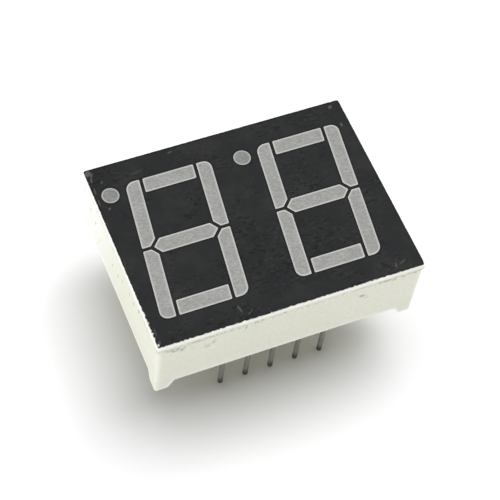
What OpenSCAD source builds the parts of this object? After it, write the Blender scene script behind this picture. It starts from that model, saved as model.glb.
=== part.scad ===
// Two-digit seven segment display with ten through-hole pins.
// Millimetres. +X is the reader's right, +Y is up the digits and +Z is out of the face.
// The origin is the centre of the pin pattern, on the plane that the four feet stand on.

/* [Body] */
// Width of the face, across both digits
face_w = 25.4; // [25:0.1:30]
// Height of the face, along the digits
face_h = 19.3; // [19.2:0.1:24]
// Thickness from the feet to the face
body_t = 8; // [7.4:0.1:10]
// Thickness of the thin lip round the face
lip_t = 0.6; // [0.3:0.05:0.8]
// How far the lip stands out past the walls
lip_out = 0.12; // [0.05:0.01:0.15]
// Radius of the lip's upper edge
lip_round = 0.1; // [0.05:0.01:0.15]
// Thickness of the four walls
wall_t = 0.8; // [0.6:0.05:0.9]
// Thickness of the web behind the face
web_t = 0.8; // [0.6:0.05:1.2]
// Radius of the walls' upright corners
corner_r = 0.25; // [0.2:0.05:0.5]

/* [Feet] */
// Height of the feet below the walls' lower edge
foot_h = 1.1; // [0.5:0.05:1.3]
// Length of each foot along the walls, at its end
foot_len = 1.25; // [1:0.05:2.5]
// Run of the sloped side of a foot
foot_slope = 0.55; // [0.3:0.05:1.2]

/* [Face mask] */
// Thickness of the black layer on the face
mask_t = 0.08; // [0.05:0.01:0.12]
// Bare border between the black layer and the lip's edge
mask_margin = 0.1; // [0.1:0.01:0.2]

/* [Digits] */
// Distance from the face's upper and lower edges to the digits
end_border = 2.55; // [2.45:0.05:2.85]
// Distance from the face's left and right edges to the digits, halfway up
side_border = 2.25; // [2.2:0.05:2.5]
// Distance between the two digits, halfway up
digit_gap = 4.5; // [4.4:0.1:4.8]
// Lean of the digits to the right, in degrees
slant = 7.5; // [5:0.5:8.5]
// Width of an upright stroke
stroke_v = 1.35; // [1.2:0.05:1.5]
// Width of a level stroke
stroke_h = 1.46; // [1.3:0.02:1.6]
// Gap between neighbouring segments
gap = 0.32; // [0.25:0.01:0.4]
// Radius of a digit's four outer corners
bend_r = 0.8; // [0.5:0.05:1]
// Radius of the segments' small corners
nib_r = 0.1; // [0.06:0.01:0.14]
// How far the ends of the middle segment reach into the upright strokes
nose_in = 0.28; // [0.2:0.02:0.36]
// Angle of the sides of the middle segment's ends, in degrees
nose_angle = 49; // [45:1:54]
// Diameter of a decimal point
point_d = 1.6; // [1.4:0.05:1.7]
// Distance from a digit's right side to the centre of its decimal point
point_out = 0.7; // [0.65:0.05:0.75]
// Distance from a digit's lower end up to the centre of its decimal point
point_up = 0.78; // [0.6:0.02:0.9]

/* [Light cells] */
// Length of a segment's cell where it meets the board
cell_l = 2.6; // [1.8:0.1:3]
// Width of a segment's cell where it meets the board
cell_w = 0.8; // [0.6:0.05:0.9]
// Diameter of a decimal point's cell where it meets the board
point_cell_d = 1.1; // [1:0.05:1.2]
// How far a decimal point's cell leans inwards on its way to the board
point_lean = 0.35; // [0.3:0.05:0.4]
// Thickness of the wall round each cell
cell_wall = 0.4; // [0.3:0.05:0.45]

/* [Board and resin] */
// Thickness of the circuit board
board_t = 1; // [0.8:0.1:1.2]
// Clearance between the board's edge and the walls
board_gap = 0.1; // [0.05:0.01:0.15]
// Thickness of the resin below the board
resin_t = 0.6; // [0.5:0.05:0.8]
// Distance from the walls' lower edge up to the resin's flat surface
resin_recess = 0.45; // [0.3:0.05:0.6]
// How far the resin climbs down the walls at its edge
resin_climb = 0.2; // [0.1:0.05:0.25]
// Width of the sloped border where the resin climbs
resin_border = 0.7; // [0.4:0.05:1]
// Radius of the resin's collar round each pin, past the pin
collar_r = 0.25; // [0.15:0.05:0.4]
// Thickness of the resin's collar at its thin end
collar_edge = 0.03; // [0.02:0.01:0.05]
// Thickness of the copper
copper_t = 0.035; // [0.02:0.005:0.07]

/* [Pins] */
// Diameter of a pin
pin_d = 0.5; // [0.4:0.05:0.6]
// Distance between neighbouring pins in a row
pin_pitch = 2.54; // [2:0.01:2.6]
// Distance from the digits' ends out to the pins' centres
pin_out = 0.52; // [0.5:0.01:0.6]
// Length of the pins below the feet
pin_reach = 6.5; // [2.5:0.1:10]
// Diameter of a pin's root, above the walls' lower edge
root_d = 0.56; // [0.5:0.02:0.62]
// Length of the pins above the board
pin_head = 0.35; // [0.2:0.05:0.6]
// Radius of the rounding at a pin's tip
pin_round = 0.14; // [0.08:0.01:0.2]
// Diameter of the copper ring round a pin
ring_d = 1; // [0.8:0.05:1.1]
// Height of the solder below the board
solder_h = 0.35; // [0.2:0.05:0.45]
// Thickness of the solder at its lower end
solder_edge = 0.05; // [0.03:0.01:0.1]

/* [Light emitters] */
// Side of a light-emitting chip
chip_w = 0.28; // [0.2:0.01:0.32]
// Height of a light-emitting chip
chip_h = 0.2; // [0.15:0.01:0.25]
// Diameter of a bond wire
wire_d = 0.04; // [0.03:0.005:0.05]
// Distance from a chip to the pad that its wire runs to
wire_span = 0.6; // [0.5:0.02:0.64]
// Bare border of the pad round a chip
pad_border = 0.06; // [0.04:0.01:0.08]

/* [Hidden] */
PINS_PER_ROW = 5;
LETTERS = ["a", "b", "c", "d", "e", "f", "g", "point"];
SIDES = ["left", "right"];
$fn = 48;
over = 0.05;
POINT_SIDES = 32;
ARC_SIDES = 6;
NIB_SIDES = 3;
BEND_SIDES = 8;
// Share of the face's mitre that an upright stroke's cell keeps at the board
MITRE_KEPT = 0.35;

// Levels, from the feet up
rim_z = foot_h;
resin_z = rim_z + resin_recess;
board_z = resin_z + resin_t;
board_top = board_z + board_t;
shell_top = body_t - mask_t;
lip_z = shell_top - lip_t;
web_z = shell_top - web_t;

// Sizes across the body
wall_w = face_w - 2 * lip_out;
wall_h = face_h - 2 * lip_out;
inner_w = wall_w - 2 * wall_t;
inner_h = wall_h - 2 * wall_t;
inner_r = corner_r;
lip_r = 2 * lip_out;

// Sizes and places of the digits and the rows of pins
digit_h = face_h - 2 * end_border;
digit_w = (face_w - 2 * side_border - digit_gap) / 2;
digit_pitch = digit_w + digit_gap;
row_pitch = digit_h + 2 * pin_out;

// Sizes within a digit, before it is slanted
half_w = digit_w / 2;
half_h = digit_h / 2;
inside_x = half_w - stroke_v;
level_x = inside_x - gap;
nose_x = inside_x + nose_in;
// A point on the mitre of an upright stroke, one gap away from the middle segment's nose
mitre = [nose_x + gap * sin(nose_angle), gap * cos(nose_angle)];
mitre_cut = [
  mitre.x + (mitre.y - gap / 2) / tan(nose_angle) - inside_x,
  mitre.y + (mitre.x - inside_x) * tan(nose_angle) - gap / 2
];
upright_y = (half_h + gap / 2) / 2;
upright_l = half_h - gap / 2;
point_x = half_w + point_out;
point_y = half_h - point_up;

function segment_name(side, s) = s == "point" ? str(side, "_point") : str(side, "_segment_", s);
function chip_name(side, s) = str(side, "_chip_", s);
function digit_x(side) = (side == "left" ? -1 : 1) * digit_pitch / 2;
function slanted(p) = [p.x + p.y * tan(slant), p.y];
function unit(v) = v / norm(v);
function reversed(list) = [for (i = [len(list) - 1 : -1 : 0]) list[i]];
function is_upright(s) = s == "b" || s == "c" || s == "e" || s == "f";

// The arc that rounds corner b, between its neighbours a and c
function corner_arc(a, b, c, r, steps) =
  let (
    u = unit(a - b),
    v = unit(c - b),
    half = acos(u * v) / 2,
    middle = b + unit(u + v) * r / sin(half),
    from = b + u * r / tan(half) - middle,
    to = b + v * r / tan(half) - middle,
    start = atan2(from.y, from.x),
    turn = atan2(from.x * to.y - from.y * to.x, from * to)
  )
  [for (i = [0 : steps]) middle + r * [cos(start + turn * i / steps), sin(start + turn * i / steps)]];

function rounded(pts, radii, steps) =
  let (n = len(pts))
  [for (i = [0 : n - 1])
    each corner_arc(pts[(i + n - 1) % n], pts[i], pts[(i + 1) % n], radii[i], steps[i])];
function rect_ring(w, h, r) =
  rounded(
    [[-w, -h] / 2, [w, -h] / 2, [w, h] / 2, [-w, h] / 2],
    [r, r, r, r],
    [for (i = [0 : 3]) ARC_SIDES]
  );

// A segment's outline before it is slanted, anticlockwise. Its sides are moved in by e,
// and t is the share of the way from the board to the face.
function upper_right(e, t, grow) =
  let (
    x0 = inside_x + e.x,
    x1 = half_w - e.x,
    y0 = gap / 2 + e.y,
    y1 = half_h - e.y,
    cut = mitre_cut * (MITRE_KEPT * (1 - t) + t),
    nib = nib_r + grow,
    bend = bend_r * t + nib_r * (1 - t) + grow
  )
  rounded(
    [[x0 + cut.x, y0], [x1, y0], [x1, y1], [x0, y1], [x0, y0 + cut.y]],
    [nib_r, nib, bend, nib, nib_r],
    [NIB_SIDES, NIB_SIDES, BEND_SIDES, NIB_SIDES, NIB_SIDES]
  );
function top_bar(e, grow) =
  let (
    x = level_x - e.x,
    y0 = half_h - stroke_h + e.y,
    y1 = half_h - e.y,
    nib = nib_r + grow
  )
  rounded(
    [[-x, y0], [x, y0], [x, y1], [-x, y1]],
    [nib, nib, nib, nib],
    [for (i = [0 : 3]) NIB_SIDES]
  );
function middle_bar(e) =
  let (
    y = stroke_h / 2 - e.y,
    x = nose_x - e.x,
    shoulder = x - y / tan(nose_angle)
  )
  rounded(
    [[-shoulder, -y], [shoulder, -y], [x, 0], [shoulder, y], [-shoulder, y], [-x, 0]],
    [for (i = [0 : 5]) nib_r],
    [for (i = [0 : 5]) NIB_SIDES]
  );
function flipped(pts, sx, sy) =
  let (q = [for (p = pts) [p.x * sx, p.y * sy]])
  sx * sy > 0 ? q : reversed(q);
function outline(s, e, t, grow) =
  s == "a" ? top_bar(e, grow) :
  s == "b" ? upper_right(e, t, grow) :
  s == "c" ? flipped(upper_right(e, t, grow), 1, -1) :
  s == "d" ? flipped(top_bar(e, grow), 1, -1) :
  s == "e" ? flipped(upper_right(e, t, grow), -1, -1) :
  s == "f" ? flipped(upper_right(e, t, grow), -1, 1) :
  middle_bar(e);

// The centre, full size and size at the board of a segment before it is slanted
function centre(s) =
  s == "a" ? [0, half_h - stroke_h / 2] :
  s == "d" ? [0, stroke_h / 2 - half_h] :
  s == "g" ? [0, 0] :
  [(s == "b" || s == "c" ? 1 : -1) * (half_w - stroke_v / 2), (s == "b" || s == "f" ? 1 : -1) * upright_y];
function full_size(s) =
  is_upright(s) ? [stroke_v, upright_l] : s == "g" ? [2 * nose_x, stroke_h] : [2 * level_x, stroke_h];
function cell_size(s) = is_upright(s) ? [cell_w, cell_l] : [cell_l, cell_w];

// A cell's outline at share t of the way from the board to the face, grown by a wall
function bar_ring(s, t, grow) =
  let (e = (full_size(s) - cell_size(s)) / 2 * (1 - t) - [grow, grow])
  [for (p = outline(s, e, t, grow)) slanted(p)];
function point_ring(t, grow) =
  let (
    r = (point_cell_d * (1 - t) + point_d * t) / 2 + grow,
    middle = [point_x - point_lean * (1 - t), -point_y],
    step = 360 / POINT_SIDES
  )
  [for (i = [0 : POINT_SIDES - 1]) middle + r * [cos(i * step), sin(i * step)]];
function ring(s, t, grow) = s == "point" ? point_ring(t, grow) : bar_ring(s, t, grow);
function share(z) = (z - board_top) / (shell_top - board_top);

// Where a chip's middle lies on the board and the direction that its wire runs in
function chip_middle(s) = s == "point" ? [point_x - point_lean, -point_y] : slanted(centre(s));
function wire_angle(s) =
  s == "point" ? 90 :
  s == "e" || s == "f" ? -90 - slant :
  is_upright(s) ? 90 - slant : 0;

// A solid through outlines of equal length at rising levels
module skin(rings, levels) {
  n = len(rings[0]);
  last = len(rings) - 1;
  polyhedron(
    points = [for (k = [0 : last]) for (p = rings[k]) [p.x, p.y, levels[k]]],
    faces = concat(
      [[for (i = [0 : n - 1]) i]],
      [for (k = [0 : last - 1]) for (i = [0 : n - 1])
        [k * n + i, (k + 1) * n + i, (k + 1) * n + (i + 1) % n, k * n + (i + 1) % n]],
      [[for (i = [n - 1 : -1 : 0]) last * n + i]]
    ),
    convexity = 4
  );
}

module rounded_rect(w, h, r) {
  square([w - 2 * r, h], center = true);
  square([w, h - 2 * r], center = true);
  for (x = [-1, 1], y = [-1, 1])
    translate([x * (w / 2 - r), y * (h / 2 - r)]) circle(r = r);
}

// The gap between two feet, cut right through along Y
module foot_gap(span, depth) {
  low = span / 2 - foot_len;
  high = low - foot_slope;
  rotate([90, 0, 0])
    linear_extrude(depth, center = true)
      polygon([[-low - over * foot_slope / foot_h, -over], [low + over * foot_slope / foot_h, -over],
        [high, foot_h], [-high, foot_h]]);
}

module cell(s) {
  skin([ring(s, share(board_top - over), 0), ring(s, share(shell_top + over), 0)],
    [board_top - over, shell_top + over]);
}

module cell_jacket(s) {
  top = web_z + web_t / 2;
  skin([ring(s, 0, cell_wall), ring(s, share(top), cell_wall)], [board_top, top]);
}

module both_digits() {
  for (side = SIDES) translate([digit_x(side), 0, 0]) children();
}

// The thin plate round the face, with a rounded upper edge
module lip() {
  turns = [for (i = [0 : 4]) i * 22.5];
  insets = concat(0, [for (a = turns) lip_round * (1 - cos(a))]);
  levels = concat(lip_z, [for (a = turns) shell_top - lip_round * (1 - sin(a))]);
  skin([for (i = insets) rect_ring(face_w - 2 * i, face_h - 2 * i, lip_r - i)], levels);
}

module housing() {
  color("ivory")
    difference() {
      union() {
        linear_extrude(shell_top) rounded_rect(wall_w, wall_h, corner_r);
        lip();
      }
      difference() {
        translate([0, 0, -over]) linear_extrude(web_z + over) rounded_rect(inner_w, inner_h, inner_r);
        both_digits() for (s = LETTERS) cell_jacket(s);
      }
      foot_gap(wall_w, face_h + 1);
      rotate([0, 0, 90]) foot_gap(wall_h, face_w + 1);
      both_digits() for (s = LETTERS) cell(s);
    }
}

module face_mask() {
  color("#2b2c2e")
    translate([0, 0, shell_top])
      linear_extrude(mask_t)
        difference() {
          rounded_rect(face_w - 2 * mask_margin, face_h - 2 * mask_margin, lip_r);
          both_digits() for (s = LETTERS) polygon(ring(s, 1, 0));
        }
}

// A chip and its wire in the digit's own frame
module at_chip(s) {
  translate([chip_middle(s).x, chip_middle(s).y, board_top]) rotate([0, 0, wire_angle(s)]) children();
}

module chip(s) {
  at_chip(s) translate([-(wire_span + chip_w) / 2, -chip_w / 2, 0]) cube([chip_w, chip_w, chip_h]);
}

module bond_wire(s) {
  ball_d = 2.4 * wire_d;
  ball_h = wire_d;
  at_chip(s) {
    translate([0, 0, chip_h])
      rotate([90, 0, 0]) rotate_extrude(angle = 180) translate([wire_span / 2, 0]) circle(d = wire_d);
    translate([wire_span / 2, 0, 0]) cylinder(d = wire_d, h = chip_h);
    translate([wire_span / 2, 0, 0]) cylinder(d = ball_d, h = ball_h);
    translate([-wire_span / 2, 0, chip_h]) cylinder(d = ball_d, h = ball_h);
  }
}

module segment(s) {
  color("#b0b0ac")
    difference() {
      skin([ring(s, 0, 0), ring(s, 1, 0), ring(s, 1, 0)], [board_top, shell_top, body_t]);
      chip(s);
      bond_wire(s);
    }
}

// Pins 1 to 5 run left to right along the lower row and 6 to 10 right to left along the upper
function pin_place(n) =
  let (
    lower = n <= PINS_PER_ROW,
    i = lower ? n - 1 : 2 * PINS_PER_ROW - n
  )
  [(i - (PINS_PER_ROW - 1) / 2) * pin_pitch, (lower ? -1 : 1) * row_pitch / 2];

module at_pins() {
  for (n = [1 : 2 * PINS_PER_ROW]) translate(pin_place(n)) children();
}

// A straight pin with a rounded tip and a slightly thicker root that ends level with the walls
module pin(n) {
  r = pin_d / 2;
  root_r = root_d / 2;
  root_z = pin_reach + rim_z;
  length = pin_reach + board_top + pin_head;
  tip = [for (a = [0 : 15 : 90]) [r - pin_round * (1 - sin(a)), pin_round * (1 - cos(a))]];
  root = [[r, root_z], [root_r, root_z], [root_r, length], [0, length]];
  color("silver")
    translate(concat(pin_place(n), -pin_reach))
      rotate_extrude() polygon(concat([[0, 0]], tip, root));
}

module pin_holes(from, to) {
  at_pins() translate([0, 0, from - over]) cylinder(d = root_d, h = to - from + 2 * over);
}

module pads() {
  pad_w = chip_w + 2 * pad_border;
  for (s = LETTERS)
    translate(chip_middle(s)) rotate([0, 0, wire_angle(s)])
      for (x = [-1, 1]) translate([x * wire_span / 2 - pad_w / 2, -pad_w / 2]) square(pad_w);
}

module top_copper_plan() {
  both_digits() pads();
}

module bottom_copper_plan() {
  at_pins() circle(d = ring_d);
}

module top_copper() {
  color("goldenrod")
    difference() {
      translate([0, 0, board_top - copper_t]) linear_extrude(copper_t) top_copper_plan();
      pin_holes(board_z, board_top);
    }
}

module bottom_copper() {
  color("goldenrod")
    difference() {
      translate([0, 0, board_z]) linear_extrude(copper_t) bottom_copper_plan();
      pin_holes(board_z, board_top);
    }
}

module circuit_board() {
  color("seagreen")
    difference() {
      translate([0, 0, board_z])
        linear_extrude(board_t)
          rounded_rect(inner_w - 2 * board_gap, inner_h - 2 * board_gap, inner_r);
      translate([0, 0, board_top - copper_t]) linear_extrude(copper_t + over) top_copper_plan();
      translate([0, 0, board_z - over]) linear_extrude(copper_t + over) bottom_copper_plan();
      pin_holes(board_z, board_top);
    }
}

module solder_cones() {
  at_pins()
    translate([0, 0, board_z - solder_h]) cylinder(d1 = root_d + 2 * solder_edge, d2 = ring_d, h = solder_h);
}

module solder_joints() {
  color("silver")
    difference() {
      solder_cones();
      pin_holes(board_z - solder_h, board_z);
    }
}

// The hollow surface that the resin leaves between the walls, as a body to cut away
module resin_hollow() {
  turns = [0, 25, 50, 75, 90];
  outs = [for (a = turns) resin_border * (1 - sin(a))];
  drops = [for (a = turns) resin_climb * cos(a)];
  flat = [inner_w, inner_h] - [2, 2] * resin_border;
  skin(
    [for (i = [0 : 4]) rect_ring(flat.x + 2 * outs[i] + over, flat.y + 2 * outs[i] + over, inner_r)],
    [for (i = [0 : 4]) resin_z - drops[i] - (i == 0 ? over : 0)]
  );
}

module resin_collars() {
  at_pins()
    translate([0, 0, resin_z - collar_r])
      cylinder(r1 = root_d / 2 + collar_edge, r2 = root_d / 2 + collar_r, h = collar_r);
}

module potting_resin() {
  low = resin_z - resin_climb;
  color("#d9d6c4")
    difference() {
      union() {
        difference() {
          translate([0, 0, low]) linear_extrude(board_top - low) rounded_rect(inner_w, inner_h, inner_r);
          resin_hollow();
        }
        resin_collars();
      }
      translate([0, 0, board_z])
        linear_extrude(board_t + over)
          rounded_rect(inner_w - 2 * board_gap, inner_h - 2 * board_gap, inner_r);
      solder_cones();
      pin_holes(low - collar_r, board_top);
    }
}

housing();
face_mask();
circuit_board();
top_copper();
bottom_copper();
solder_joints();
potting_resin();
for (side = SIDES, s = LETTERS)
  translate([digit_x(side), 0, 0]) segment(s);
for (side = SIDES, s = LETTERS)
  color("#7a2c2c") translate([digit_x(side), 0, 0]) chip(s);
for (side = SIDES)
  color("gold") translate([digit_x(side), 0, 0]) for (s = LETTERS) bond_wire(s);
for (n = [1 : 2 * PINS_PER_ROW])
  pin(n);
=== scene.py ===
import math
import bpy
from mathutils import Matrix, Vector


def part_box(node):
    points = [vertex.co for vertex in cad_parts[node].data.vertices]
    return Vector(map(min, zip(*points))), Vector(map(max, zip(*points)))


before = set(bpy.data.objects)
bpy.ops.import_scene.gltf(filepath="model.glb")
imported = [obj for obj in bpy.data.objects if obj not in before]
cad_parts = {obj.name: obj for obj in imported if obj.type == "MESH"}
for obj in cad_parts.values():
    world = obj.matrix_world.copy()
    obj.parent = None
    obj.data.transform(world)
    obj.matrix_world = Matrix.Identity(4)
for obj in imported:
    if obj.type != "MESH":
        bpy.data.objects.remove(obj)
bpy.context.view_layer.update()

MM = 0.001
SIDES = ["left", "right"]
SEGMENTS = ["a", "b", "c", "d", "e", "f", "g"]
PINS = 10

# Levels and half widths in millimetres of the part's frame: the ink's top and edges, the housing's outermost
# faces, the lower edge of the lip and the pins' tips
FACE_LOW, FACE_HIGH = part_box("face_mask")
HOUSING_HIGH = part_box("housing")[1]
FACE_Z = FACE_HIGH.z / MM
INK_X = FACE_HIGH.x / MM
INK_Y = FACE_HIGH.y / MM
WALL_X = HOUSING_HIGH.x / MM
WALL_Y = HOUSING_HIGH.y / MM
LIP_HEIGHT = 0.6
LIP_Z = FACE_LOW.z / MM - LIP_HEIGHT
PIN_TIP_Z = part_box("pin_1")[0].z / MM

# The reference view in millimetres of the part's frame: where the camera stands, the point that it aims at,
# its roll in degrees, its focal length and the width of its sensor
CAMERA_PLACE = (40.44, 68.76, 129.41)
CAMERA_AIM = (1.54, 3.06, 8.0)
CAMERA_ROLL = -9.66
CAMERA_LENS = 117.5
SENSOR = 36.0
# The nearest and the farthest that it sees, in metres
CLIP_START = 0.005
CLIP_END = 20.0

# A wide lamp above, built from four soft lights, and a low one that faces the walls at +X and +Y: the
# direction that each shines in, its strength and its softness in degrees
LIGHTS = [
    ("above_left", (-0.50, 0.50, -1.0), 0.86, 50),
    ("above_middle", (0.10, 0.10, -1.0), 1.05, 50),
    ("above_near", (0.34, 0.10, -1.0), 1.24, 50),
    ("above_far", (0.50, 0.50, -1.0), 0.76, 50),
    ("low", (-1.0, -0.71, -0.03), 1.87, 8),
]
# The world's strength as light on the object, and as the background that is seen and reflected
AMBIENT = 0.01
BACKGROUND = 1.0
# Half of the floor's width, in metres
FLOOR_HALF = 1.5

# A Mix node has sockets for numbers and vectors too: these are its two colours and the mixed one
MIX_A = 6
MIX_B = 7
MIX_RESULT = 2
BEVEL_SAMPLES = 8
# The ragged edge of a blot: the size of its parts in mm, how far they move it, and where it ends and is full,
# as the squared distance from its middle over that of its outline
BLOT_GRAIN = 0.12
BLOT_RAGGED = 2.0
BLOT_END = 1.3
BLOT_FULL = 0.5


def colour(red, green, blue):
    """The linear colour that a shader takes, from one written as it looks on screen (sRGB, 0 to 255)."""
    parts = []
    for value in (red, green, blue):
        share = value / 255
        parts.append(share / 12.92 if share <= 0.04045 else ((share + 0.055) / 1.055) ** 2.4)
    return (*parts, 1.0)


class Finish:
    """One material, with short calls for its nodes. Lengths in its pattern are millimetres of the part's
    frame, and a value is a socket or a number."""

    def __init__(self, name):
        self.material = bpy.data.materials.new(name)
        self.material.use_nodes = True
        self.tree = self.material.node_tree
        self.tree.nodes.clear()
        self.shader = self.node("ShaderNodeBsdfPrincipled")
        output = self.node("ShaderNodeOutputMaterial")
        self.join(self.shader.outputs["BSDF"], output.inputs["Surface"])
        coordinates = self.node("ShaderNodeTexCoord")
        in_mm = self.node("ShaderNodeVectorMath", operation="SCALE")
        self.join(coordinates.outputs["Object"], in_mm.inputs[0])
        self.join(1 / MM, in_mm.inputs["Scale"])
        self.place = in_mm.outputs[0]
        parts = self.node("ShaderNodeSeparateXYZ")
        self.join(self.place, parts.inputs[0])
        self.x, self.y, self.z = parts.outputs

    def node(self, kind, **settings):
        made = self.tree.nodes.new(kind)
        for key, value in settings.items():
            setattr(made, key, value)
        return made

    def join(self, source, target):
        """Links a socket to the target, or writes a number or colour into it."""
        if hasattr(source, "is_output"):
            self.tree.links.new(source, target)
        else:
            target.default_value = source

    def math(self, operation, a, b=0.0):
        made = self.node("ShaderNodeMath", operation=operation)
        self.join(a, made.inputs[0])
        self.join(b, made.inputs[1])
        return made.outputs[0]

    def times(self, first, *others):
        """The product of several values."""
        product = first
        for value in others:
            product = self.math("MULTIPLY", product, value)
        return product

    def most(self, first, *others):
        """The largest of several values."""
        largest = first
        for value in others:
            largest = self.math("MAXIMUM", largest, value)
        return largest

    def linear(self, value, start, rise):
        """start where the value is 0, and start + rise where it is 1."""
        return self.math("ADD", self.math("MULTIPLY", value, rise), start)

    def step(self, value, low, high):
        """0 below low and 1 above high, with a smooth rise between. With low above high it falls."""
        made = self.node("ShaderNodeMapRange", interpolation_type="SMOOTHSTEP")
        self.join(value, made.inputs["Value"])
        self.join(low, made.inputs["From Min"])
        self.join(high, made.inputs["From Max"])
        return made.outputs["Result"]

    def band(self, value, middle, half, soft):
        """1 within half of middle, falling to 0 over soft."""
        away = self.math("ABSOLUTE", self.math("SUBTRACT", value, middle))
        return self.step(away, half + soft, half)

    def outermost(self, value, limit, depth):
        """1 within that depth of the limit or beyond it, falling to 0 at twice the depth."""
        return self.step(value, limit - 2 * depth, limit - depth)

    def noise(self, size, detail=3.0, rough=0.55, stretch=(1, 1, 1), shift=(0, 0, 0), turn=0.0):
        """Noise from 0 to 1 with blots of about that size. stretch makes them longer along the frame's axes,
        and shift and turn, in degrees about Z, pick another part of the same noise."""
        mapping = self.node("ShaderNodeMapping")
        self.join(self.place, mapping.inputs["Vector"])
        mapping.inputs["Location"].default_value = shift
        mapping.inputs["Rotation"].default_value = (0, 0, math.radians(turn))
        mapping.inputs["Scale"].default_value = [1 / (size * share) for share in stretch]
        made = self.node("ShaderNodeTexNoise")
        self.join(mapping.outputs[0], made.inputs["Vector"])
        made.inputs["Scale"].default_value = 1.0
        made.inputs["Detail"].default_value = detail
        made.inputs["Roughness"].default_value = rough
        return made.outputs["Fac"]

    def patches(self, size, low, high, **settings):
        """Noise that is 0 where it is below low and 1 where it is above high."""
        return self.step(self.noise(size, **settings), low, high)

    def blot(self, right, up, x, y, long, wide, turn=0.0, seed=0.0):
        """A mark with a ragged edge: 1 inside an ellipse at x, y on the two axes right and up, of that length
        and width and turned by degrees, and 0 outside it. The seed picks its edge."""
        angle = math.radians(turn)
        dx = self.math("SUBTRACT", right, x)
        dy = self.math("SUBTRACT", up, y)
        along = self.math("ADD", self.times(dx, math.cos(angle)), self.times(dy, math.sin(angle)))
        across = self.math("SUBTRACT", self.times(dy, math.cos(angle)), self.times(dx, math.sin(angle)))
        a = self.math("POWER", self.math("DIVIDE", along, long / 2), 2.0)
        b = self.math("POWER", self.math("DIVIDE", across, wide / 2), 2.0)
        edge = self.math("SUBTRACT", self.noise(BLOT_GRAIN, rough=0.7, shift=(seed, seed, 0)), 0.5)
        reach = self.math("ADD", self.math("ADD", a, b), self.times(edge, BLOT_RAGGED))
        return self.step(reach, BLOT_END, BLOT_FULL)

    def mix(self, share, a, b):
        """The colour a where the share is 0, and b where it is 1."""
        made = self.node("ShaderNodeMix", data_type="RGBA")
        self.join(share, made.inputs["Factor"])
        self.join(a, made.inputs[MIX_A])
        self.join(b, made.inputs[MIX_B])
        return made.outputs[MIX_RESULT]

    def rounded(self, radius):
        """The surface's direction with its edges rounded by that radius."""
        made = self.node("ShaderNodeBevel", samples=BEVEL_SAMPLES)
        made.inputs["Radius"].default_value = radius * MM
        return made.outputs[0]

    def edge(self, radius, low, high):
        """1 along sharp edges and 0 on flat ground. It rises as the cosine between the flat direction and the
        one rounded by that radius falls from high to low."""
        flat = self.node("ShaderNodeNewGeometry").outputs["True Normal"]
        made = self.node("ShaderNodeVectorMath", operation="DOT_PRODUCT")
        self.join(self.rounded(radius), made.inputs[0])
        self.join(flat, made.inputs[1])
        return self.step(made.outputs["Value"], high, low)

    def bump(self, height, depth, rounding=0.0):
        """Relief of that depth, over edges rounded by that radius."""
        made = self.node("ShaderNodeBump")
        made.inputs["Strength"].default_value = 1.0
        made.inputs["Distance"].default_value = depth * MM
        self.join(height, made.inputs["Height"])
        if rounding:
            self.join(self.rounded(rounding), made.inputs["Normal"])
        self.join(made.outputs[0], self.shader.inputs["Normal"])

    def set(self, **values):
        """Sets the shader's sockets, with _ for a space in their names, and returns the material."""
        for key, value in values.items():
            self.join(value, self.shader.inputs[key.replace("_", " ")])
        return self.material


# Housing

PLASTIC = colour(233, 234, 217)
PLASTIC_WARM = colour(231, 232, 212)
PLASTIC_COOL = colour(237, 238, 226)
PLASTIC_SHADE = colour(222, 223, 205)
# Painted highlight: the colour of the pale lip rim, of the pale edges below the lip (partly edge wear) and of
# the pale far end of the wall at +X
PLASTIC_PAINTED_HIGHLIGHT = colour(253, 253, 249)
# Dirt, and the painted shade of the broken line under the lip
GRIME_AND_SHADE = colour(118, 115, 104)
# How deep a wall's own finish reaches in from the housing's outermost face, in mm
WALL_DEPTH = 0.25
# Where the painted highlight on the wall at +X starts and where it is brightest, along Y in mm
FAR_HIGHLIGHT_FROM = 1.0
FAR_HIGHLIGHT_TO = -8.0
# The levels between which the painted highlight on the lip's rim rises, and between which the painted
# highlights on the walls' edges set in below it, in mm
RIM_FROM = LIP_Z + 0.18
RIM_TO = FACE_Z - 0.12
EDGES_FROM = LIP_Z + 0.02
EDGES_TO = LIP_Z - 0.1
# The level from which specks get stronger towards the lip, and the line of painted shade and dirt under it:
# its level, half its width and how softly it ends, in mm
SPECKS_FROM = 5.2
UNDER_LIP_SHADE_AND_DIRT = (LIP_Z - 0.14, 0.16, 0.30)

# Dirt on the wall at +Y: place along X and Z, length, width in mm, turn in degrees and strength
WALL_Y_MARKS = [
    (11.6, 7.00, 0.70, 0.70, 10, 0.42),
    (11.0, 6.80, 0.90, 0.90, -10, 0.50),
    (10.3, 6.50, 0.50, 0.80, 30, 0.55),
    (9.3, 7.05, 1.00, 0.40, 0, 0.42),
    (8.4, 7.05, 1.20, 0.44, 0, 0.50),
    (7.5, 7.05, 0.80, 0.40, 4, 0.42),
    (7.35, 6.10, 0.40, 0.80, 15, 0.46),
    (7.95, 5.60, 0.70, 0.80, 0, 0.28),
    (6.3, 7.05, 1.20, 0.30, 0, 0.30),
    (4.4, 6.80, 0.24, 0.80, 8, 0.45),
    (3.05, 7.50, 0.22, 0.30, 0, 0.65),
    (0.9, 7.46, 0.22, 0.30, 0, 0.65),
    (-1.6, 7.05, 1.50, 0.28, 0, 0.26),
    (-6.8, 5.72, 0.66, 0.50, -6, 0.62),
    (-7.3, 5.20, 0.40, 0.50, 20, 0.34),
    (-9.0, 7.05, 0.95, 0.40, 0, 0.48),
    (-9.8, 6.85, 0.60, 0.40, 8, 0.38),
    (-10.7, 7.00, 0.40, 0.50, 0, 0.65),
    (-11.8, 7.05, 0.50, 0.46, 0, 0.70),
    (-12.2, 7.20, 0.40, 0.44, 0, 0.55),
]
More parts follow.
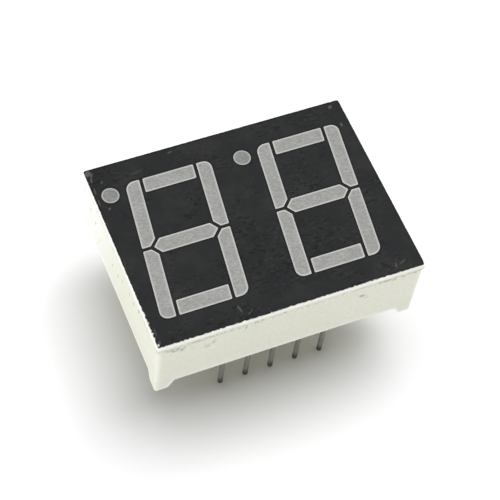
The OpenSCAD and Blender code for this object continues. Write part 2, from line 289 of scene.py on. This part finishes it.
# Specks on the wall at +X: place along Y and Z, and the rest as above
WALL_X_MARKS = [
    (-9.2, 5.4, 0.20, 0.60, 0, 0.25),
    (-7.4, 4.9, 0.22, 0.60, 0, 0.50),
    (-6.1, 4.5, 0.22, 0.60, 0, 0.60),
    (-4.9, 3.4, 0.18, 0.50, 0, 0.35),
    (-5.4, 2.2, 0.18, 0.50, 0, 0.40),
    (-1.6, 4.2, 0.20, 0.60, 0, 0.45),
    (-0.2, 4.5, 0.22, 0.60, 0, 0.50),
    (0.9, 5.3, 0.30, 0.50, 10, 0.35),
    (3.7, 5.9, 0.22, 0.50, 0, 0.55),
    (2.6, 5.8, 0.18, 0.50, 0, 0.45),
    (4.9, 6.7, 0.24, 0.90, 5, 0.80),
]


def specks_and_lip_shade(f):
    """Fine specks, stronger near the lip, and a broken dark line under it that is painted shade under the lip
    with some dirt.
    """
    near_lip = f.step(f.z, SPECKS_FROM, LIP_Z)
    specks = f.patches(0.16, 0.735, 0.78, detail=1, shift=(7, 3, 1))
    specks = f.times(specks, f.linear(near_lip, 0.12, 0.5))
    # Painted shade under the lip, with some dirt: a broken dark line just below it
    under_lip = f.band(f.z, *UNDER_LIP_SHADE_AND_DIRT)
    line = f.times(under_lip, f.patches(0.5, 0.44, 0.60, detail=4, rough=0.8, shift=(2, 5, 0)))
    stretches = f.linear(f.patches(3.5, 0.38, 0.56, detail=1, shift=(0, 4, 0)), 0.18, 0.36)
    return f.most(specks, f.times(line, stretches))


def add_marks(f, dirt_and_shade, axis, marks, share, seed):
    """The dirt and painted shade with these dirt marks on a wall added. They lie along the axis and Z, and
    show as far as share.
    """
    for i, (place, z, long, wide, turn, strength) in enumerate(marks):
        mark = f.blot(axis, f.z, place, z, long, wide, turn, seed=seed * i)
        dirt_and_shade = f.most(dirt_and_shade, f.times(mark, share, strength))
    return dirt_and_shade


def housing_plastic():
    """Off-white moulded plastic, a little yellowed, with specks, smudges, painted highlights and a painted
    shade line.
    """
    f = Finish("housing_plastic")
    wall_x = f.outermost(f.x, WALL_X, WALL_DEPTH)
    wall_y = f.outermost(f.y, WALL_Y, WALL_DEPTH)
    base = f.mix(f.patches(5.0, 0.35, 0.7, detail=2), PLASTIC, PLASTIC_WARM)
    cool = f.patches(0.45, 0.42, 0.62, detail=4, rough=0.7)
    base = f.mix(f.times(cool, 0.6), base, PLASTIC_COOL)
    shade = f.patches(0.34, 0.50, 0.64, rough=0.7, shift=(0, 8, 5))
    base = f.mix(f.times(shade, 0.55), base, PLASTIC_SHADE)
    # Painted highlight: the far end of the wall at +X is made paler, standing in for the light that falls on
    # it
    painted_far_highlight = f.times(wall_x, f.step(f.y, FAR_HIGHLIGHT_FROM, FAR_HIGHLIGHT_TO), 0.7)
    base = f.mix(painted_far_highlight, base, PLASTIC_PAINTED_HIGHLIGHT)
    # Painted highlights: a pale band along the lip's rim, and pale edges below the lip that are partly edge
    # wear
    painted_rim_highlight = f.step(f.z, RIM_FROM, RIM_TO)
    below_lip = f.step(f.z, EDGES_FROM, EDGES_TO)
    edge_wear_and_highlight = f.times(f.edge(0.8, 0.90, 0.995), below_lip, 0.85)
    base = f.mix(f.most(painted_rim_highlight, edge_wear_and_highlight), base, PLASTIC_PAINTED_HIGHLIGHT)
    broken = f.linear(f.patches(0.24, 0.40, 0.56, rough=0.7, shift=(1, 6, 2)), 0.25, 0.75)
    dirt_and_shade = add_marks(f, specks_and_lip_shade(f), f.x, WALL_Y_MARKS, f.times(broken, wall_y), seed=2.3)
    dirt_and_shade = add_marks(f, dirt_and_shade, f.y, WALL_X_MARKS, wall_x, seed=1.9)
    # Dirt darkens the walls, and painted shade darkens the line under the lip
    base = f.mix(dirt_and_shade, base, GRIME_AND_SHADE)
    roughness = f.linear(f.noise(0.3, detail=4), 0.36, 0.16)
    f.bump(f.noise(0.22, rough=0.6), 0.006, rounding=0.05)
    return f.set(Base_Color=base, Roughness=roughness, Subsurface_Weight=0.12,
                 Subsurface_Radius=(1.0, 0.95, 0.8), Subsurface_Scale=0.4 * MM)


# Face

INK = colour(29, 30, 31)
INK_PALE = colour(38, 39, 38)
INK_DARK = colour(21, 22, 23)
INK_DEEP = colour(8, 8, 9)
INK_FLECK = colour(49, 50, 51)
SCUFF = colour(92, 93, 94)
# How deep the heavier wear reaches in from the ink's edge at +X and +Y, in mm
WEAR_DEPTH = 0.3
# Where the edge at +X starts to be worn and where it is worn most, along Y in mm
WEAR_FROM = 2.0
WEAR_TO = 7.0
# A rubbed part of the face: place, length and width in mm
RUBBED = (-1.5, 4.6, 14.0, 7.5)

# Marks on the face: place, length, width in mm, turn in degrees and strength, which is below 0 for a dark one
FACE_MARKS = [
    (4.65, 8.25, 0.8, 0.16, 104, 0.60),
    (5.0, 7.95, 0.6, 0.30, 20, -0.55),
    (4.3, 8.2, 0.9, 0.20, 120, -0.45),
    (12.35, 9.1, 0.5, 0.26, 60, 0.45),
    (12.3, 8.0, 0.9, 0.14, 88, 0.35),
    (4.0, 8.95, 0.45, 0.12, 20, 0.45),
    (3.7, 8.7, 0.30, 0.10, 50, 0.30),
    (8.2, -7.9, 1.6, 0.35, 12, 0.14),
    (4.5, -9.0, 0.55, 0.22, 15, 0.40),
    (3.6, -9.1, 0.9, 0.08, 5, 0.22),
    (-11.55, -9.0, 0.50, 0.32, 35, 0.60),
    (-11.75, -6.8, 0.46, 0.26, 80, 0.60),
    (-10.1, 8.80, 0.60, 0.18, 70, 0.42),
    (-10.8, 8.65, 0.70, 0.20, 20, 0.34),
    (-10.3, 8.30, 0.50, 0.14, 0, 0.22),
    (12.30, -9.15, 0.70, 0.50, 40, 0.75),
    (12.05, -8.9, 0.50, 0.30, 70, 0.55),
    (12.2, -8.4, 0.60, 0.22, 80, 0.50),
    (11.4, -7.9, 0.36, 0.20, 60, 0.50),
    (12.3, -7.2, 0.80, 0.16, 85, 0.45),
    (11.2, -7.0, 0.34, 0.20, 30, 0.45),
    (12.35, -5.9, 0.80, 0.14, 85, 0.42),
    (11.7, -5.0, 0.36, 0.18, 30, 0.60),
    (12.4, -3.4, 1.00, 0.08, 88, 0.26),
    (12.4, 0.8, 1.30, 0.07, 88, 0.22),
    (0.4, 4.2, 1.9, 0.05, 65, 0.20),
    (-1.2, -3.4, 2.4, 0.05, 48, 0.16),
    (10.9, 2.6, 1.4, 0.06, 100, 0.20),
]


def bare_border(f):
    """1 where the ink is worn off: in a thin ragged line all round, which is wider along the edge at +Y, and
    widest on the part of the edge at +X that meets it."""
    from_side = f.math("SUBTRACT", INK_X, f.math("ABSOLUTE", f.x))
    from_end = f.math("SUBTRACT", INK_Y, f.math("ABSOLUTE", f.y))
    inward = f.math("MINIMUM", from_side, from_end)
    ragged = f.times(f.patches(0.22, 0.45, 0.75, detail=4, rough=0.75, shift=(5, 0, 0)), 0.14)
    worn_side = f.times(f.outermost(f.x, INK_X, WEAR_DEPTH), f.step(f.y, WEAR_FROM, WEAR_TO))
    worn_end = f.times(f.outermost(f.y, INK_Y, WEAR_DEPTH), 0.55)
    worn = f.math("ADD", f.times(worn_side, 1.2), worn_end)
    reach = f.times(ragged, f.math("ADD", worn, 0.35))
    return f.step(f.math("SUBTRACT", reach, inward), -0.015, 0.015)


def face_ink():
    """Charcoal ink: mottled, lightly scratched, worn ragged along the edges down to the plastic, with painted
    shade as a dark outline along its edges.
    """
    f = Finish("face_ink")
    base = f.mix(f.patches(2.6, 0.4, 0.7, rough=0.6), INK, INK_PALE)
    mottled = f.patches(0.35, 0.5, 0.72, detail=4, rough=0.7)
    base = f.mix(f.times(mottled, 0.5), base, INK_DARK)
    hairs = f.patches(0.09, 0.70, 0.76, detail=1, stretch=(40, 1, 40), turn=28)
    more = f.patches(0.07, 0.71, 0.77, detail=1, stretch=(30, 1, 30), turn=-55, shift=(4, 9, 0))
    scratched = f.patches(3.0, 0.48, 0.62, detail=2, shift=(3, 3, 3))
    hairs = f.times(f.most(hairs, more), scratched, 0.2)
    base = f.mix(hairs, base, SCUFF)
    rubbed = f.blot(f.x, f.y, *RUBBED)
    base = f.mix(f.times(rubbed, 0.4), base, INK_DARK)
    spread = f.most(f.patches(3.6, 0.46, 0.60, detail=1, shift=(6, 1, 0)), rubbed)
    nicks = f.patches(0.24, 0.54, 0.62, rough=0.6, stretch=(2.5, 1, 1), turn=20, shift=(9, 2, 0))
    base = f.mix(f.times(nicks, spread, 0.85), base, INK_DEEP)
    flecks = f.patches(0.26, 0.56, 0.66, rough=0.6, stretch=(1.8, 1, 1), turn=20, shift=(3, 7, 0))
    base = f.mix(f.times(flecks, spread, 0.55), base, INK_FLECK)
    # Painted shade: a dark outline along every edge of the ink, round the segments and along its border
    base = f.mix(f.times(f.edge(0.36, 0.93, 0.998), 0.8), base, INK_DEEP)
    for i, (x, y, long, wide, turn, strength) in enumerate(FACE_MARKS):
        mark = f.blot(f.x, f.y, x, y, long, wide, turn, seed=3.7 * i)
        base = f.mix(f.times(mark, abs(strength)), base, SCUFF if strength > 0 else INK_DEEP)
    bare = bare_border(f)
    base = f.mix(bare, base, PLASTIC)
    rough = f.linear(f.noise(0.8, detail=4, rough=0.6), 0.36, 0.2)
    rough = f.math("ADD", rough, f.times(hairs, 0.3))
    f.bump(f.math("SUBTRACT", f.noise(0.25), f.times(bare, 4.0)), 0.004)
    return f.set(Base_Color=base, Roughness=rough, Specular_IOR_Level=0.06)


# Tones of the segments and of the points, from 0 to 255
SEGMENT_TONE = 141
POINT_TONE = 118


def light_resin(name, tone):
    """Grey diffusing resin of that tone: cloudy, with fine dark grain and a painted highlight along its
    outline.
    """
    f = Finish(name)

    def grey(lift, warmth=3):
        return colour(tone + lift, tone + lift, tone + lift - warmth)

    base = f.mix(f.patches(1.8, 0.35, 0.7), grey(0), grey(8, 2))
    clouds = f.patches(0.6, 0.42, 0.60, rough=0.6, shift=(2, 6, 0))
    base = f.mix(f.times(clouds, 0.42), base, grey(16))
    grain = f.patches(0.12, 0.40, 0.60, detail=2, rough=0.7, stretch=(2.2, 1, 1), turn=40)
    base = f.mix(f.times(grain, 0.62), base, grey(-24))
    # Painted highlight: a pale outline along the resin's edges
    base = f.mix(f.times(f.edge(0.34, 0.93, 0.998), 0.85), base, grey(50))
    rough = f.linear(f.noise(0.4), 0.34, 0.15)
    f.bump(f.noise(0.14, rough=0.6), 0.004)
    return f.set(Base_Color=base, Roughness=rough, Specular_IOR_Level=0.3, Subsurface_Weight=0.2,
                 Subsurface_Radius=(1.0, 1.0, 1.0), Subsurface_Scale=0.3 * MM)


# Pins

WIRE = colour(136, 137, 129)
WIRE_PALE = colour(174, 175, 168)
WIRE_DRAWN = colour(98, 98, 91)
WIRE_TIP = colour(58, 57, 53)
# How far above the tip a pin starts to darken, and how far above it is darkest, in mm
TIP_FROM = 1.5
TIP_TO = 0.4


def tinned_wire():
    """Dull tinned wire with faint draw lines, darker towards the cut tip."""
    f = Finish("tinned_wire")
    base = f.mix(f.noise(0.3, detail=4, rough=0.7), WIRE, WIRE_PALE)
    drawn = f.noise(0.05, detail=2, stretch=(1, 1, 30))
    base = f.mix(f.times(drawn, 0.4), base, WIRE_DRAWN)
    tip = f.step(f.z, PIN_TIP_Z + TIP_FROM, PIN_TIP_Z + TIP_TO)
    base = f.mix(f.times(tip, 0.8), base, WIRE_TIP)
    rough = f.linear(f.noise(0.2), 0.32, 0.25)
    f.bump(drawn, 0.004)
    return f.set(Base_Color=base, Roughness=rough, Metallic=0.9)


# Back and inside

RESIN = colour(226, 222, 204)
RESIN_DARK = colour(206, 201, 178)
BUBBLE = colour(150, 144, 122)

# The sealed inner pieces' materials: two colours, roughness, metallic share and size of the grain in mm
INNER_FINISHES = {
    "board_laminate": (colour(58, 92, 62), colour(78, 118, 80), 0.4, 0.0, 0.3),
    "copper": (colour(196, 146, 84), colour(214, 170, 104), 0.25, 1.0, 0.3),
    "solder": (colour(150, 150, 150), colour(190, 190, 192), 0.25, 1.0, 0.3),
    "emitter_crystal": (colour(96, 34, 30), colour(150, 66, 52), 0.15, 0.0, 0.1),
    "bond_gold": (colour(222, 176, 84), colour(240, 202, 118), 0.2, 1.0, 0.05),
}


def potting_resin():
    """Milky set resin with a glossy skin, faint swirls and a few small bubbles."""
    f = Finish("potting_resin")
    base = f.mix(f.patches(3.5, 0.35, 0.7, detail=4, rough=0.6), RESIN, RESIN_DARK)
    bubbles = f.patches(0.30, 0.81, 0.85, detail=0, shift=(8, 2, 0))
    base = f.mix(f.times(bubbles, 0.3), base, BUBBLE)
    rough = f.linear(f.noise(1.2), 0.14, 0.14)
    f.bump(f.math("SUBTRACT", f.noise(2.4, detail=2), bubbles), 0.03)
    return f.set(Base_Color=base, Roughness=rough, Subsurface_Weight=0.25,
                 Subsurface_Radius=(1.0, 0.9, 0.6), Subsurface_Scale=0.6 * MM)


def inner_finish(name):
    """Two colours in a fine grain."""
    low, high, roughness, metallic, grain = INNER_FINISHES[name]
    f = Finish(name)
    base = f.mix(f.noise(grain, detail=4, rough=0.6), low, high)
    rough = f.linear(f.noise(grain / 2), roughness, 0.15)
    f.bump(f.noise(grain / 2), 0.004)
    return f.set(Base_Color=base, Roughness=rough, Metallic=metallic)


def give(names, material):
    """Puts one material on these CAD nodes."""
    for name in names:
        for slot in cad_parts[name].material_slots:
            slot.material = material


def dress():
    """Gives each CAD node its material."""
    give(["housing"], housing_plastic())
    give(["face_mask"], face_ink())
    segments = [f"{side}_segment_{s}" for side in SIDES for s in SEGMENTS]
    give(segments, light_resin("bar_resin", SEGMENT_TONE))
    give([f"{side}_point" for side in SIDES], light_resin("point_resin", POINT_TONE))
    give([f"pin_{n + 1}" for n in range(PINS)], tinned_wire())
    give(["potting_resin"], potting_resin())
    give(["circuit_board"], inner_finish("board_laminate"))
    give(["top_copper", "bottom_copper"], inner_finish("copper"))
    give(["solder_joints"], inner_finish("solder"))
    chips = [f"{side}_chip_{s}" for side in SIDES for s in SEGMENTS + ["point"]]
    give(chips, inner_finish("emitter_crystal"))
    give([f"{side}_bond_wires" for side in SIDES], inner_finish("bond_gold"))


# Stage

WHITE = (1.0, 1.0, 1.0, 1.0)
PAPER = colour(252, 252, 253)
PAPER_SHADE = colour(248, 249, 250)


def add_camera():
    """A camera at the reference view."""
    data = bpy.data.cameras.new("camera")
    data.lens = CAMERA_LENS
    data.sensor_width = SENSOR
    data.clip_start = CLIP_START
    data.clip_end = CLIP_END
    camera = bpy.data.objects.new("camera", data)
    place = Vector(CAMERA_PLACE)
    forward = (Vector(CAMERA_AIM) - place).normalized()
    level = forward.cross(Vector((0, 0, 1))).normalized()
    right = Matrix.Rotation(math.radians(CAMERA_ROLL), 3, forward) @ level
    turned = Matrix((right, right.cross(forward), -forward)).transposed()
    camera.matrix_world = Matrix.Translation(place * MM) @ turned.to_4x4()
    bpy.context.scene.collection.objects.link(camera)
    bpy.context.scene.camera = camera


def add_floor():
    """A wide pale floor at the pins' tips."""
    z = PIN_TIP_Z * MM
    corners = [(x * FLOOR_HALF, y * FLOOR_HALF, z) for x, y in ((-1, -1), (1, -1), (1, 1), (-1, 1))]
    mesh = bpy.data.meshes.new("floor")
    mesh.from_pydata(corners, [], [(0, 1, 2, 3)])
    floor = bpy.data.objects.new("floor", mesh)
    bpy.context.scene.collection.objects.link(floor)
    f = Finish("floor_paper")
    base = f.mix(f.noise(30.0), PAPER, PAPER_SHADE)
    mesh.materials.append(f.set(Base_Color=base, Roughness=0.9, Specular_IOR_Level=0.0))


def add_sun(name, towards, strength, softness):
    """A soft distant light that shines in the direction towards."""
    data = bpy.data.lights.new(name, "SUN")
    data.energy = strength
    data.angle = math.radians(softness)
    light = bpy.data.objects.new(name, data)
    light.rotation_mode = "QUATERNION"
    light.rotation_quaternion = Vector(towards).to_track_quat("-Z", "Y")
    bpy.context.scene.collection.objects.link(light)


def add_world():
    """A white background for the camera and for reflections, which hardly lights the object."""
    world = bpy.data.worlds.new("world")
    world.use_nodes = True
    tree = world.node_tree
    tree.nodes.clear()
    path = tree.nodes.new("ShaderNodeLightPath")
    seen = path.outputs["Is Camera Ray"]
    for ray in ("Is Glossy Ray", "Is Transmission Ray"):
        either = tree.nodes.new("ShaderNodeMath")
        either.operation = "MAXIMUM"
        tree.links.new(seen, either.inputs[0])
        tree.links.new(path.outputs[ray], either.inputs[1])
        seen = either.outputs[0]
    mixer = tree.nodes.new("ShaderNodeMixShader")
    tree.links.new(seen, mixer.inputs[0])
    for index, strength in ((1, AMBIENT), (2, BACKGROUND)):
        background = tree.nodes.new("ShaderNodeBackground")
        background.inputs["Color"].default_value = WHITE
        background.inputs["Strength"].default_value = strength
        tree.links.new(background.outputs[0], mixer.inputs[index])
    output = tree.nodes.new("ShaderNodeOutputWorld")
    tree.links.new(mixer.outputs[0], output.inputs["Surface"])
    bpy.context.scene.world = world


add_camera()
add_floor()
add_world()
for name, towards, strength, softness in LIGHTS:
    add_sun(name, towards, strength, softness)
bpy.context.scene.view_settings.view_transform = "Standard"
dress()
